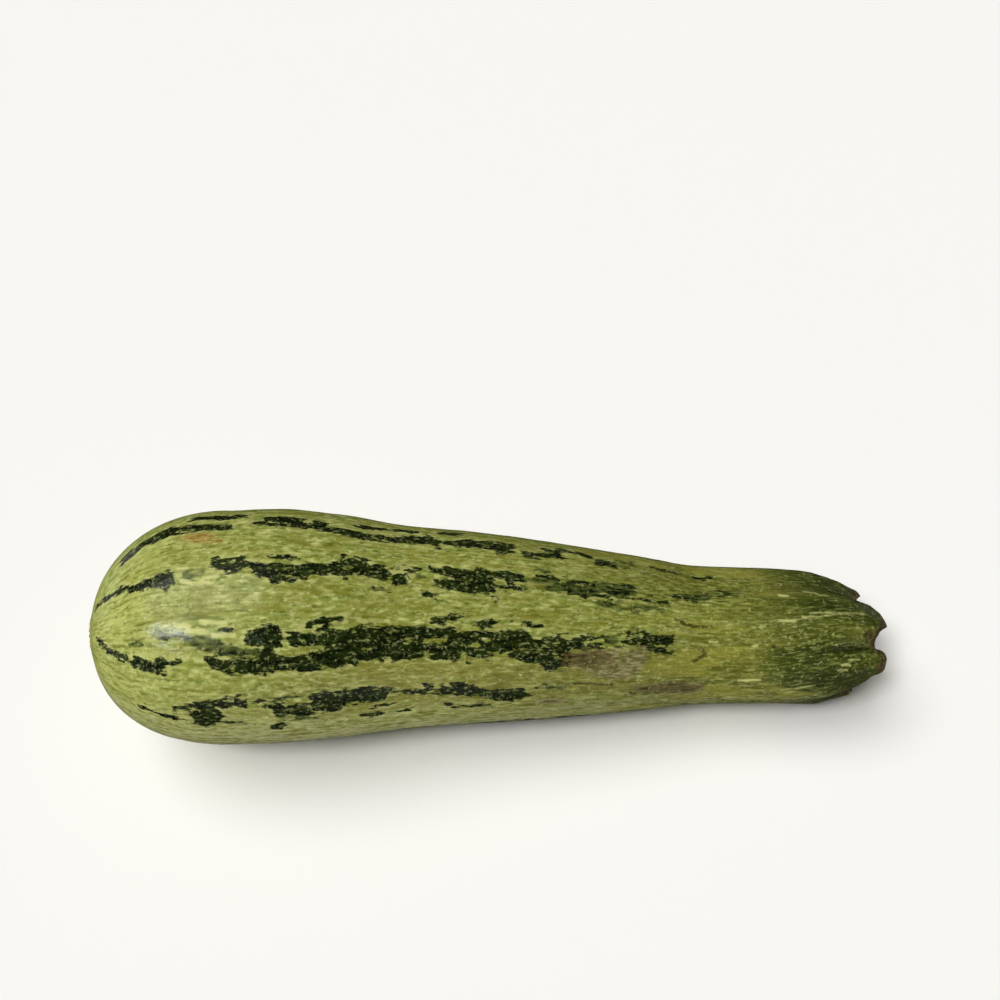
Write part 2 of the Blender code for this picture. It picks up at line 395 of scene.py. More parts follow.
UPPER_BAND = (
    ((2.5, 83.5, 87.5), (7.3, 87, 91.5), (10, 89, 94.5), (13.8, 92.4, 96.6), (18.5, 93.2, 98.2)),
    ((18, 93, 98.3), (21.3, 91.5, 99), (24, 90.8, 99.8), (26.3, 91.5, 97.5)),
    ((35.5, 85.5, 90), (38, 84.8, 91.5), (41, 85, 92.5), (44, 85, 91)),
    ((43, 89, 91), (47, 89.3, 91.8)),
    ((46, 90, 93.5), (49, 89.5, 96), (55, 89.5, 95.5), (58, 89, 97), (62, 88, 94), (67, 88, 93.5)),
    ((49, 85.7, 87.3), (52, 85, 87.5), (55.5, 85, 86.8)),
    ((50, 95, 100.5), (51.5, 96, 99.5), (55, 96, 98)),
    ((66.5, 83.3, 94), (69, 82.8, 94.5), (72, 84, 94.5)),
    ((71, 87, 94.5), (74, 88.5, 94.5), (77, 89, 94.5)),
    ((73.5, 85, 86.8), (78, 86, 87.6), (82, 86, 88), (85, 85.5, 87.3)),
    ((77.7, 93, 97), (79, 90, 97), (81.6, 89.5, 96.5)),
    ((87, 84.8, 88), (91, 84.5, 90.5), (95, 86, 92), (98, 84.5, 97), (102.6, 84.5, 99.5)),
    ((88.5, 92.5, 96), (92, 92, 99), (96, 93, 100), (102, 95, 99.5)),
    ((102.5, 85.5, 88.5), (106, 83.2, 90), (110.5, 84.7, 90)),
    ((103, 93.7, 96), (107, 94, 96), (111, 94.8, 96.8)),
    ((113, 84, 87.5), (116, 84.3, 88.5), (119.5, 86, 89.5)),
    ((117.5, 89, 93.5), (122, 88.7, 94.8), (127.5, 89.8, 95.2)),
    ((120, 85.5, 88), (126.5, 86, 88.8)),
    ((127, 87, 90.5), (132, 85.6, 91), (138, 84, 89)),
    ((130, 91, 94.8), (138, 90.3, 94)),
    ((126, 94.5, 95.8), (133, 95, 96.3), (140, 93.4, 95.2), (147, 92.8, 94.4)),
    ((147, 88.3, 91.2), (150, 87.2, 91), (155, 85.6, 89.4), (160.5, 83.3, 87)),
    ((85.5, 100, 101.6), (87.5, 101, 102.3), (88.7, 101.8, 103.2)),
    ((74, 99, 100.2), (77.5, 99.5, 100.5)),
    ((102.5, 102.5, 105), (103.8, 102.5, 105)),
)
MIDDLE_BAND = (
    ((3, 120, 124.6), (5.6, 127.4, 132), (10, 131.2, 134.6), (15, 135.2, 138.4)),
    ((14.5, 135.6, 138.4), (20, 137, 139.6), (25.5, 137.8, 139.8)),
    ((14, 131.2, 134), (18, 133.1, 135.2), (22.3, 133.2, 135.1), (26.2, 133.6, 135.5), (30, 133.3, 134.6)),
    ((38.5, 119, 121), (42, 119.7, 121)),
    ((45, 122.5, 128.5), (48, 119.5, 129), (50, 118.5, 129.5), (53.2, 118.5, 128.5)),
    ((38, 127, 130.5), (44, 128.8, 132.5), (51, 128.5, 133)),
    ((35.5, 132.3, 134.3), (38, 133.3, 137.5), (42, 134, 140), (50, 133.3, 140), (60, 131.5, 139.5)),
    ((55, 122.5, 128), (58, 121.3, 128), (62, 121, 128), (66, 120.5, 128)),
    ((59, 118.5, 120), (61, 115.3, 119), (64, 114.5, 117), (67.5, 113.8, 115.5)),
    ((59, 131, 139.5), (62, 128.5, 139), (66, 128, 138), (70, 127, 137)),
    ((65, 121, 137), (70, 119.5, 136), (73, 118.3, 135.5), (78, 118, 135.5)),
    ((77.5, 118, 135.5), (84, 117.8, 136), (86, 119, 136)),
    ((85, 119.7, 124.5), (90, 120.5, 124), (94, 121, 124.5)),
    ((85, 128.3, 135.5), (90, 128, 136), (94, 127.5, 137.5), (96.5, 128, 138.7), (98, 130, 136)),
    ((91.5, 121, 129), (95, 121, 130), (99, 121.5, 125.5), (101, 122, 124)),
    ((97, 131.3, 135.5), (103, 132.5, 134.8)),
    ((99.5, 126.5, 131.5), (104, 127.5, 133), (109, 128.5, 134.5), (114, 130.5, 136)),
    ((88, 114.3, 116.3), (90, 113.6, 117), (91.5, 114, 116.5)),
    ((92, 112.8, 114.5), (94.8, 112.6, 114.6)),
    ((98.5, 116, 117.8), (101, 114.3, 119), (103, 113.8, 116), (107, 113.6, 115.2)),
    ((109.5, 115.8, 117.2), (112, 115.8, 117.6), (114.6, 116, 117.8)),
    ((101, 122, 125), (104, 121.8, 128.5), (107, 119.5, 129), (110, 119.3, 130), (112, 121, 131)),
    ((106, 132.6, 135), (110, 132, 138), (115, 131, 140), (119, 132, 139.5), (124.5, 132.5, 139)),
    ((111, 125, 139), (115, 126.5, 140), (119, 127.5, 136), (122, 128.5, 133)),
    ((114.5, 138, 142.5), (117, 139, 145), (119, 139, 144), (121.5, 138.5, 142)),
    ((112.5, 122.5, 127), (118, 122, 126.5), (120, 122.5, 125.5)),
    ((119, 124.5, 131), (125, 124, 130.5), (130, 124.5, 128.5)),
    ((124, 121.7, 124), (132, 121, 124.5)),
    ((136, 118.5, 121.5), (140, 117, 122), (142.5, 118, 123)),
    ((135, 124.5, 128), (139, 121, 126.5), (143, 120, 126.5), (148, 119.7, 126.3)),
    ((141.5, 125.5, 131), (144, 127, 133.5), (147, 130, 134), (148.3, 130.5, 133.5)),
    ((128, 130.3, 131.3), (133, 128, 129.3), (138, 126.5, 127.8)),
)
LOWER_BAND = (
    ((26, 157.5, 159.3), (29, 156.7, 158.7), (33, 153.7, 158.5), (37, 152.6, 157.5), (42.5, 151.8, 156.8)),
    ((43, 154.6, 158), (47, 154.6, 156.6)),
    ((46.5, 155, 156.6), (52, 152.8, 154.4), (57, 152.5, 153.9), (60, 152.5, 154.5)),
    ((59.5, 150.7, 158), (64, 150.5, 160), (70, 149.5, 160), (76, 151, 158.5), (77.6, 152, 155)),
    ((48.5, 156.3, 157.8), (52, 156, 157.8)),
    ((50.5, 159.5, 164), (52, 158, 165), (55, 157.5, 165.3), (59, 157.5, 164.5)),
    ((59, 159, 163.7), (66, 159, 163)),
    ((77.5, 153.3, 155.3), (84, 153, 157), (89, 153.3, 158), (93, 153.5, 158.5)),
    ((86, 150.8, 152), (90, 150.8, 152.2)),
    ((92.3, 150.5, 158), (94, 150, 158.5), (95.7, 151, 159), (96.5, 153.5, 160)),
    ((96, 154, 160), (101, 155, 161)),
    ((101, 157, 164), (104, 156.5, 165), (109, 156.3, 165), (112, 159, 163)),
    ((113, 153.6, 156), (116, 154, 155.6)),
    ((14, 163, 164.4), (20, 163.5, 165.7), (25, 164.3, 166), (29, 165, 166.8)),
    ((31, 160, 167), (33, 158, 169), (36, 158.5, 168.5), (38.5, 160, 163)),
    ((35, 165.5, 168), (39, 166, 168.5), (43, 167, 168.7)),
    ((49, 170.8, 174.3), (51, 170.3, 174.5), (53, 170.2, 172.5)),
    ((70, 168.2, 170.2), (76.5, 168.2, 169.8)),
    ((78.7, 169, 170.3), (80.5, 168, 169.8), (82.5, 169.3, 170.6)),
    ((74, 161.5, 163), (78, 162, 163.3)),
    ((88, 165.2, 166.4), (92, 164.6, 166)),
    ((92.5, 167.6, 170.7), (96, 168.6, 170.6), (102, 168, 169.8)),
)
# Paler, washed-out stripes on the side in view
FAINT_STRIPES = (
    ((28.5, 91.5, 95.4), (31, 91, 96.2), (33.6, 91.3, 94.8)),
    ((110, 68.5, 73), (114, 69, 72)),
    ((110, 88, 92), (115, 86.5, 94), (120, 89, 95.5), (128, 89.5, 95.5)),
    ((128, 85, 93), (133, 84, 94.5), (139, 84.5, 94)),
    ((113, 80.7, 82.5), (117, 81, 83)),
    ((128, 98, 103), (137, 97.5, 104), (146, 97, 102)),
    ((134, 56.5, 60), (139, 56, 60)),
    ((134, 63.5, 67), (138, 62.5, 66)),
    ((150, 83, 89), (158, 81.5, 89)),
    ((158, 77, 85), (167, 76, 83)),
    ((13, 124, 126), (17, 124, 126.3)),
    ((20.5, 120.3, 122), (24, 121.3, 124.5), (30, 121.3, 124.5)),
    ((30, 121.7, 125.5), (35, 122.3, 130), (40, 125.5, 132), (44, 127, 132)),
    ((84, 90, 91.6), (86, 90, 91.8)),
    ((130, 120.7, 127), (134, 120.5, 128.5)),
    ((115, 155.7, 158), (121, 155.7, 158)),
    ((52, 165.5, 168), (60, 165.5, 168)),
    ((38, 127, 132), (43, 129, 133), (48, 129.5, 133)),
)
STRIPE_FULL = 0.75  # further in than this, in millimetres, a stripe is no denser
FAR_OUTSIDE = -6.0  # depth in millimetres that stands for anywhere well off a stripe
# Stripes on the sides out of view: the angle of each band, and its breadth against the others
HIDDEN_BANDS = ((20, 1.4), (340, 1.0), (304, 1.8), (268, 1.2), (232, 1.8), (197, 0.8))
HIDDEN_SEED = 11
BAND_FULL = (15, 55, 112, 160)
BAND_END = 152
MOST_DRIFT = 4.5  # degrees that a band wanders off its angle
BRANCH_CHANCE = 0.45


def grown_band(angle, breadth, rng):
    """Stripes of one band that the photo doesn't show, broken up as the visible ones are."""
    stripes = []
    along = rng.uniform(4, 9)
    drift = rng.uniform(-2, 2)
    while along < BAND_END:
        full = plateau(BAND_FULL, along)
        length = rng.uniform(6, 12) + 12 * full * rng.random()
        half = breadth * (rng.uniform(1.2, 2.2) + rng.uniform(1.2, 4.6) * full)
        middle = angle + drift
        start = (along, middle - 0.6 * half, middle + 0.5 * half)
        wide = rng.uniform(0.7, 1.3, 2) * half
        bulge = (along + rng.uniform(0.25, 0.6) * length, middle - wide[0], middle + wide[1])
        end = (along + length, middle - 0.5 * half, middle + 0.6 * half)
        stripes.append((start, bulge, end))
        if rng.random() < BRANCH_CHANCE:
            side = rng.choice((-1, 1)) * (half + rng.uniform(1.4, 3.0))
            spread = rng.uniform(0.6, 1.6)
            branch = along + rng.uniform(0, 0.4) * length
            reach = branch + rng.uniform(4, 10)
            low, high = middle + side - spread, middle + side + spread
            stripes.append(((branch, low, high), (reach, low + 0.4, high - 0.4)))
        along += length + rng.choice((-1.5, -1.0, 0.5, 2.5), p=(0.35, 0.3, 0.2, 0.15))
        drift = np.clip(drift + rng.uniform(-2.2, 2.2), -MOST_DRIFT, MOST_DRIFT)
    return stripes


def stripe_depth(stripe, along, degrees, per_degree):
    """How far inside a stripe each point lies, in millimetres, negative outside it."""
    at, low, high = np.array(stripe, float).T
    lower = np.interp(along, at, low)
    upper = np.interp(along, at, high)
    off = (degrees - (lower + upper) / 2 + 180) % 360 - 180
    across = ((upper - lower) / 2 - np.abs(off)) * per_degree
    ends = np.minimum(along - at[0], at[-1] - along)
    return np.minimum(across, ends)


def deepest(stripes, along, degrees, per_degree):
    """How far inside any of the stripes each point lies."""
    depth = np.full(along.shape, FAR_OUTSIDE)
    for stripe in stripes:
        depth = np.maximum(depth, stripe_depth(stripe, along, degrees, per_degree))
    return depth


def blot(along, degrees, per_degree, at, angle, length, width):
    """A soft spot: 1 in its middle, fading out over its length and width in millimetres."""
    off = ((degrees - angle + 180) % 360 - 180) * per_degree
    return np.exp(-(((along - at) / length) ** 2) - (off / width) ** 2)


def blots(spots, along, degrees, per_degree):
    """The strongest of several soft spots."""
    amount = np.zeros(along.shape)
    for spot in spots:
        amount = np.maximum(amount, blot(along, degrees, per_degree, *spot))
    return amount


# Scuffs, stains, nicks, painted shade along a fold, and pale scratches with painted highlights among them,
# drawn as the stripes are
SCUFFS = (
    ((121.5, 133, 141), (125, 130, 146), (130, 129, 151), (135, 129, 154)),
    ((134.5, 129, 154), (138, 128, 152), (141.5, 127.5, 140)),
    ((138, 159, 164), (146, 155.5, 169), (152, 156, 172), (157, 160, 169)),
    ((113, 164.5, 169), (117, 165, 171), (121.5, 166.5, 170)),
)
STAINS = (
    ((119.5, 134, 141), (124, 130.5, 143), (128, 130.5, 142), (133, 133, 139)),
    ((137, 161, 163), (141, 158.5, 165.5), (146, 156.5, 168.5), (151, 155.5, 169.5), (157, 161, 167)),
    ((114.5, 166, 168.5), (119, 166.5, 169.5)),
)
NICKS = (
    ((148.6, 105.5, 108.2), (151, 107.8, 111.6), (153, 110, 113.2), (158.5, 109.6, 112)),
    ((154.6, 128, 130.6), (156.6, 129.5, 133)),
    ((152.6, 139.5, 142), (154.2, 137, 140.5), (155.6, 132.5, 137.5), (156.8, 131, 135)),
    ((173.2, 124, 128), (174.2, 124, 128)),
    ((174.7, 142, 144.5), (175.5, 142, 144.5)),
    ((122, 154, 155.2), (127, 154.3, 155.3), (131, 156, 157.5), (133, 155, 158)),
    ((137, 163.5, 165.5), (139, 165, 168)),
)
FOLD_SHADE = (((186, 126, 130), (193, 125.5, 130.5), (200, 126.5, 130)),)
PALE_MARKS_AND_HIGHLIGHTS = (
    # A pale line along a ridge crest of the stem end, partly a painted highlight
    ((173, 105.6, 107), (180, 102.8, 104.2), (187, 98.6, 99.8), (193, 94.6, 95.6), (199, 90.8, 91.8)),
    # Pale flecks that are painted highlights, in the glare near the blossom end
    ((26.5, 89, 91), (30, 88.6, 90.6)),
    ((28, 95, 97.4), (31, 96.2, 98.6)),
    ((31, 97.6, 100), (36, 96.2, 98.8)),
    ((33.5, 94.8, 96.6), (38, 93.6, 95.6)),
    ((27, 116, 118.6), (32, 116.6, 119.6)),
    ((31, 118.8, 121.4), (36, 119, 122)),
    ((34, 115, 117.4), (41, 115.8, 118.2)),
    ((37, 121.2, 123.6), (43, 121.6, 124)),
    ((157, 122, 124), (160, 122, 124)),
    ((168, 125.5, 128), (170, 124, 126.5)),
    ((170, 109, 111), (172, 109, 110.5)),
    ((175, 104, 106.5), (179.5, 103.5, 106)),
    ((181, 100.5, 102.5), (185, 99.5, 101.5)),
    ((187, 95.5, 97.5), (190, 95, 96.7), (194, 93.3, 94.7), (198, 90.5, 91.5)),
    ((176, 79, 82.5), (179, 79, 82)),
    ((183, 71.2, 73.6), (187, 71.8, 74.4)),
    ((186, 76, 77.6), (190, 76, 77.8)),
    ((183, 96.4, 98.2), (187, 95.8, 97.4)),
    ((191, 139, 141.5), (194, 139.5, 142)),
    ((193, 135.5, 137.5), (196.5, 136, 138)),
    ((190, 143.5, 145), (193, 143.5, 145.5)),
    ((165, 154.5, 157), (171, 154, 156)),
    ((176, 164, 166), (180, 161.5, 163), (185, 157, 159)),
)
# Soft spots: the millimetres along and the angle, then half the length and half the width in mm
RUST_SPOTS = ((28, 70, 3.5, 1.1), (32, 69.5, 3.0, 1.0), (36, 74, 2.0, 0.7), (31, 72, 4.0, 1.6))
SHADE_SPOTS = (
    (188, 152, 9, 3.0), (197, 152, 5, 2.2), (200, 72, 5, 6.0),
    (187, 89, 5, 2.0), (185, 138, 3.5, 1.3), (195, 161, 5, 1.8),
)
LIP_SPOTS = ((203.5, 145, 3.2, 2.6), (204, 97, 2.2, 1.6), (199, 112, 2.0, 1.6))

# The dark green of the stem end: at these angles, the millimetres where it starts and is full,
# and how dark it gets
STEM_REACH = (
    (0, 60, 92, 104, 122, 130, 150, 162, 175, 190, 215, 240, 360),
    (160, 152, 150, 151, 156, 159, 163, 168, 184, 184, 170, 164, 160),
    (184, 198, 194, 184, 191, 183, 182, 187, 202, 202, 190, 188, 184),
    (1.0, 0.74, 0.78, 0.60, 0.76, 1.0, 1.0, 1.0, 1.0, 1.0, 1.0, 1.0, 1.0),
)
# The olive green of the neck, darkened further by painted shade as the light falls off towards the stem: at
# these angles, the millimetres where it starts and is full
NECK_REACH = (
    (0, 60, 90, 102, 125, 136, 160, 200, 360),
    (100, 105, 112, 140, 128, 110, 104, 100, 100),
    (165, 162, 162, 180, 174, 158, 162, 168, 165),
)
NECK_HINT = 0.30  # how olive the skin gets before the neck, over this reach, partly painted shade
HINT_REACH = (72, 108)

# Where the other tones and the painted light and shade lie, in millimetres along the fruit or degrees around
# it
# The blossom end: paler in its own colour, and brightened with painted light where the lamp falls on it
BLOSSOM_REACH = (0, 60)
# The lower side of the body, darkened with painted shade
LOW_SHADE_ANGLES = (126, 142, 158, 172)
LOW_SHADE_REACH = (35, 80)
# The underside: paler skin, with a painted reflection of the pale floor over it
UNDER_ANGLES = (152, 186, 300, 345)
WART_ANGLES = (99, 106, 146, 158)
WART_REACH = (158, 172, 199, 203)
FEWER_WARTS = 0.65
FEWER_FROM = (118, 134)
FEWER_TO = (186, 194)
# Painted shade in the grooves between the ridges of the stem end
GROOVE_SHADE_REACH = (172, 196)
GROOVE_SHADE = 0.34  # breadth of the painted shade in a groove, as a share of the way to the crest
FOLD_ANGLES = (98, 110, 136, 148)
FOLD_CLEARS = 0.7  # how much of a groove's painted shade is missing near the fold
TIP_PALER = 0.28
TIP_REACH = (189, 198)
SCAR_REACH = (0.5, 2.2)  # in radii of the scar

# Parts of the mesh
SKIN_PART = 0
SCAR_PART = 1
CUT_PART = 2


def skin_fields(along, around, region, share):
    """All that the material needs to know at each point of the mesh."""
    at = along * MM
    degrees = np.degrees(around) % 360
    girth = np.maximum(cap_share(along) * smooth_curve(BODY_RADII, along), SCAR_RADIUS)
    per_degree = np.radians(girth * MM)
    rng = np.random.default_rng(HIDDEN_SEED)
    stripes = [*TOP_BAND, *UPPER_BAND, *MIDDLE_BAND, *LOWER_BAND]
    for angle, breadth in HIDDEN_BANDS:
        stripes += grown_band(angle, breadth, rng)
    spread = (at, degrees, per_degree)
    off = off_ridge(along, around)
    dark_from, dark_to, darkest = (np.interp(degrees, STEM_REACH[0], row) for row in STEM_REACH[1:])
    tip = ease(*TIP_REACH, at) * ease(*FOLD_ANGLES[:2], degrees)
    neck_from, neck_to = (np.interp(degrees, NECK_REACH[0], row) for row in NECK_REACH[1:])
    hint = NECK_HINT * ease(*HINT_REACH, at)
    # Painted shade in the grooves, joined below by the spots of painted shade
    groove = np.exp(-(((1 - off) / GROOVE_SHADE) ** 2)) * ease(*GROOVE_SHADE_REACH, at)
    groove *= 1 - FOLD_CLEARS * plateau(FOLD_ANGLES, degrees)
    fewer = FEWER_WARTS * ease(*FEWER_FROM, degrees) * (1 - ease(*FEWER_TO, at))
    lip = ease(LIP_WIDTH, 0.0, lip_along(around) - along)
    off_scar = cap_share(along) * BODY_RADII[0][1] / SCAR_RADIUS
    return {
        "stripe": np.minimum(deepest(stripes, *spread), STRIPE_FULL),
        "faint": deepest(FAINT_STRIPES, *spread),
        "nick": deepest(NICKS, *spread),
        "fold_shade": deepest(FOLD_SHADE, *spread),
        "pale_mark_and_highlight": deepest(PALE_MARKS_AND_HIGHLIGHTS, *spread),
        "rust": blots(RUST_SPOTS, *spread),
        "scuff": deepest(SCUFFS, *spread),
        "stain": deepest(STAINS, *spread),
        "neck": hint + (1 - NECK_HINT) * ease(neck_from, neck_to, at),
        "low": plateau(LOW_SHADE_ANGLES, degrees) * ease(*LOW_SHADE_REACH, at),
        "warts": plateau(WART_ANGLES, degrees) * plateau(WART_REACH, at) * (1 - fewer),
        "stem": darkest * ease(dark_from, dark_to, at) * (1 - TIP_PALER * tip),
        "groove": np.maximum(groove, blots(SHADE_SPOTS, *spread)),
        "lip": np.where(region == SKIN_PART, np.maximum(lip, blots(LIP_SPOTS, *spread)), 1.0),
        "blossom": 1 - ease(*BLOSSOM_REACH, at),
        "under": plateau(UNDER_ANGLES, degrees),
        "scar": 1 - ease(*SCAR_REACH, off_scar),
        "flesh": np.where(region == CUT_PART, 1.0, 0.0),
        "share": share,
    }


def add_object(name, data):
    """An object made of the data, put in the scene."""
    made = bpy.data.objects.new(name, data)
    bpy.context.scene.collection.objects.link(made)
    return made


def closed_mesh(grid):
    """One closed mesh of rings of points, with a point in the middle of the first and the last."""
    rings, segments = grid.shape[:2]
    first = grid[0].mean(axis=0)
    last = grid[-1].mean(axis=0)
    points = centred(np.concatenate([[first], grid.reshape(-1, 3), [last]]))
    columns = [(j, (j + 1) % segments) for j in range(segments)]
    faces = [(0, 1 + k, 1 + j) for j, k in columns]
    end = 1 + (rings - 1) * segments
    for a in range(1, end, segments):
        b = a + segments
        faces += [(a + j, a + k, b + k, b + j) for j, k in columns]
    faces += [(end + j, end + k, len(points) - 1) for j, k in columns]
    mesh = bpy.data.meshes.new("zucchini_skin")
    mesh.from_pydata(points.tolist(), [], faces)
    mesh.shade_smooth()
    return mesh


def add_bake_map(mesh, travelled, first_skin, last_skin):
    """Map for baking: the skin as one strip, the scar and the cut face each as a round patch."""
    corner = np.zeros(len(mesh.loops), int)
    mesh.loops.foreach_get("vertex_index", corner)
    points = np.zeros(3 * len(mesh.vertices))
    mesh.vertices.foreach_get("co", points)
    points = points.reshape(-1, 3)
    starts = np.zeros(len(mesh.polygons), int)
    mesh.polygons.foreach_get("loop_start", starts)
    sizes = np.diff(starts, append=len(corner))
    ring, column = np.divmod(corner - 1, SEGMENTS)
    nearest = np.repeat(np.minimum.reduceat(ring, starts), sizes)
    farthest = np.repeat(np.maximum.reduceat(ring, starts), sizes)
    on_seam = np.repeat(np.maximum.reduceat(column, starts) == SEGMENTS - 1, sizes)
    turn = (column + SEGMENTS * (on_seam & (column == 0))) / SEGMENTS
    strip = np.stack([STRIP_LENGTH * travelled[corner] / travelled.max(), turn], axis=-1)
    scar = SCAR_PATCH_PLACE + SCAR_PATCH_SCALE * (points[corner] - points[0])[:, 1:]
    cut = CUT_PATCH_PLACE + CUT_PATCH_SCALE * (points[corner] - points[-1])[:, 1:]
    uv = np.where((nearest < first_skin)[:, None], scar, strip)
    uv = np.where((farthest > last_skin)[:, None], cut, uv)
    mesh.uv_layers.new(name="OFBake").data.foreach_set("uv", uv.ravel())


def with_middles(values):
    """The values of the rings' points, with one more for the point in the middle of each end."""
    first = values[0].mean(axis=0, keepdims=True)
    last = values[-1].mean(axis=0, keepdims=True)
    flat = values.reshape(-1, *values.shape[2:])
    return np.concatenate([first, flat, last]).astype(np.float32)


def make_fruit():
    """The fruit as one fine mesh, carrying its pattern fields."""
    scar = scar_grid()
    skin = skin_grid()
    cut = cut_grid(*(values[-1] for values in skin[:3]))
    grid, along, around, share = (np.concatenate(values) for values in zip(scar, skin, cut))
    parts = ((SCAR_PART, scar), (SKIN_PART, skin), (CUT_PART, cut))
    region = np.concatenate([np.full(rings[1].shape, part) for part, rings in parts])
    mesh = closed_mesh(grid)
    for name, values in skin_fields(along, around, region, share).items():
        field = mesh.attributes.new(name, "FLOAT", "POINT")
        field.data.foreach_set("value", with_middles(np.asarray(values, float)))
    turn = turned(along, around)
    travelled = meridian_length(along)
    first_skin = len(scar[0])
    add_bake_map(mesh, with_middles(travelled), first_skin, first_skin + len(skin[0]) - 1)
    place = np.stack([travelled, PATTERN_RADIUS * np.cos(turn), PATTERN_RADIUS * np.sin(turn)], axis=-1)
    field = mesh.attributes.new("skin", "FLOAT_VECTOR", "POINT")
    field.data.foreach_set("vector", with_middles(place).ravel())
    return add_object("zucchini_skin", mesh)


def srgb(red, green, blue):
    """A colour given as it looks on screen, 0 to 255, as the linear one that shaders take."""
    share = np.array([red, green, blue]) / 255
    linear = np.where(share <= 0.04045, share / 12.92, ((share + 0.055) / 1.055) ** 2.4)
    return (*[float(v) for v in linear], 1.0)


class Nodes:
    """A node tree: each call adds a node and gives back the socket with its result."""

    def __init__(self, owner):
        owner.use_nodes = True
        self.tree = owner.node_tree

    def node(self, kind, output, inputs, **settings):
        """A new node with those inputs and settings: gives back the output asked for."""
        made = self.tree.nodes.new(kind)
        for name, value in settings.items():
            setattr(made, name, value)
        for name, value in inputs.items():
            self.feed(made.inputs[name], value)
        return made.outputs[output]

    def feed(self, socket, value):
        """Give a socket its value, or link it to another node's output."""
        if isinstance(value, bpy.types.NodeSocket):
            self.tree.links.new(value, socket)
        else:
            socket.default_value = value


class Paint(Nodes):
    """One material and the ways to build its pattern."""

    def __init__(self, name):
        self.material = bpy.data.materials.new(name)
        super().__init__(self.material)
        self.shader = self.tree.nodes["Principled BSDF"]

    def field(self, name):
        """A value that the mesh carries."""
        return self.node("ShaderNodeAttribute", "Fac", {}, attribute_name=name)

    def sum(self, a, b):
        """One value added to another."""
        return self.node("ShaderNodeMath", 0, {0: a, 1: b}, operation="ADD")

    def times(self, a, b):
        """One value multiplied by another."""
        return self.node("ShaderNodeMath", 0, {0: a, 1: b}, operation="MULTIPLY")

    def blend(self, a, b, share):
        """Value a with that share of value b mixed in."""
        return self.sum(self.times(a, 1 - share), self.times(b, share))

    def rise(self, value, low, high, top=1.0):
        """0 below low, top above high, and a smooth rise between."""
        inputs = {"Value": value, "From Min": low, "From Max": high, "To Min": 0.0, "To Max": top}
        return self.node("ShaderNodeMapRange", 0, inputs, interpolation_type="SMOOTHSTEP")

    def mix(self, amount, a, b):
        """Colour a, turning to colour b by that amount."""
        return self.node("ShaderNodeMix", 2, {0: amount, 6: a, 7: b}, data_type="RGBA")

    def cover(self, over, amount):
        """Lay a colour over what is painted so far, by that amount."""
        self.colour = self.mix(amount, self.colour, over)

    def lay_skin(self, waviness, wavelength):
        """The skin's own coordinates in millimetres, with its long lines made to wander a little."""
        skin = self.node("ShaderNodeAttribute", "Vector", {}, attribute_name="skin")
        long = (1 / wavelength, 2.2 / wavelength, 2.2 / wavelength)
        slow = self.node("ShaderNodeMapping", 0, {"Vector": skin, "Scale": long})
        noise = self.node("ShaderNodeTexNoise", "Color", {"Vector": slow, "Scale": 1.0, "Detail": 1.0})
        half = (0.5, 0.5, 0.5)
        centred_noise = self.node("ShaderNodeVectorMath", 0, {0: noise, 1: half}, operation="SUBTRACT")
        sway = (0.0, waviness, waviness)
        shift = self.node("ShaderNodeVectorMath", 0, {0: centred_noise, 1: sway}, operation="MULTIPLY")
        self.skin = self.node("ShaderNodeVectorMath", 0, {0: skin, 1: shift}, operation="ADD")

    def place(self, size, shift):
        """The skin's coordinates, counted in grains of that length and width in millimetres."""
        length, width = size
        inputs = {"Vector": self.skin, "Scale": (1 / length, 1 / width, 1 / width), "Location": (shift,) * 3}
        return self.node("ShaderNodeMapping", 0, inputs)

    def grain(self, size, detail=1.0, shift=0.0):
        """Smooth streaky values from 0 to 1: each shift gives other ones."""
        inputs = {"Vector": self.place(size, shift), "Scale": 1.0, "Detail": detail}
        return self.node("ShaderNodeTexNoise", 0, inputs)

    def flesh_grain(self, size):
        """Smooth values from 0 to 1 in grains of that many millimetres, the same size all ways."""
        place = self.node("ShaderNodeTexCoord", "Object", {})
        return self.node("ShaderNodeTexNoise", 0, {"Vector": place, "Scale": MM / size, "Detail": 2.0})

    def cells(self, size, shift=0.0):
        """Blocky cells, each as bright as its random colour, from 0 to 1."""
        inputs = {"Vector": self.place(size, shift), "Scale": 1.0}
        return self.node("ShaderNodeTexVoronoi", "Color", inputs, distance="CHEBYCHEV")

    def dots(self, size, shift=0.0):
        """Distance from the nearest of many scattered points, counted in grains."""
        inputs = {"Vector": self.place(size, shift), "Scale": 1.0}
        return self.node("ShaderNodeTexVoronoi", "Distance", inputs)

    def torn(self, name, tear, amount):
        """A field that a grain has torn by up to half that amount either way."""
        return self.sum(self.field(name), self.times(self.sum(tear, -0.5), amount))

    def patch(self, name, low, high, top, wobble):
        """Where a field is strong, with a torn edge."""
        tear = self.blend(self.ragged, self.weave, 0.5)
        return self.rise(self.torn(name, tear, wobble), low, high, top)


# Colours of the skin, as they look on screen
BASE_MID = srgb(142, 153, 72)
BASE_PALE = srgb(208, 210, 136)
BASE_DEEP = srgb(80, 94, 20)
OLIVE = srgb(122, 121, 40)
# Painted shade on the lower side
LOW_SIDE_SHADE = srgb(122, 108, 52)
FLECK = srgb(206, 206, 150)
# Paler blossom end, its own colour brightened with painted light
BLOSSOM_PALE_AND_LIGHT = srgb(180, 187, 106)
# Olive green of the neck, which also carries painted shade
NECK_OLIVE_AND_SHADE = srgb(78, 83, 22)
NECK_YELLOW = srgb(152, 148, 62)
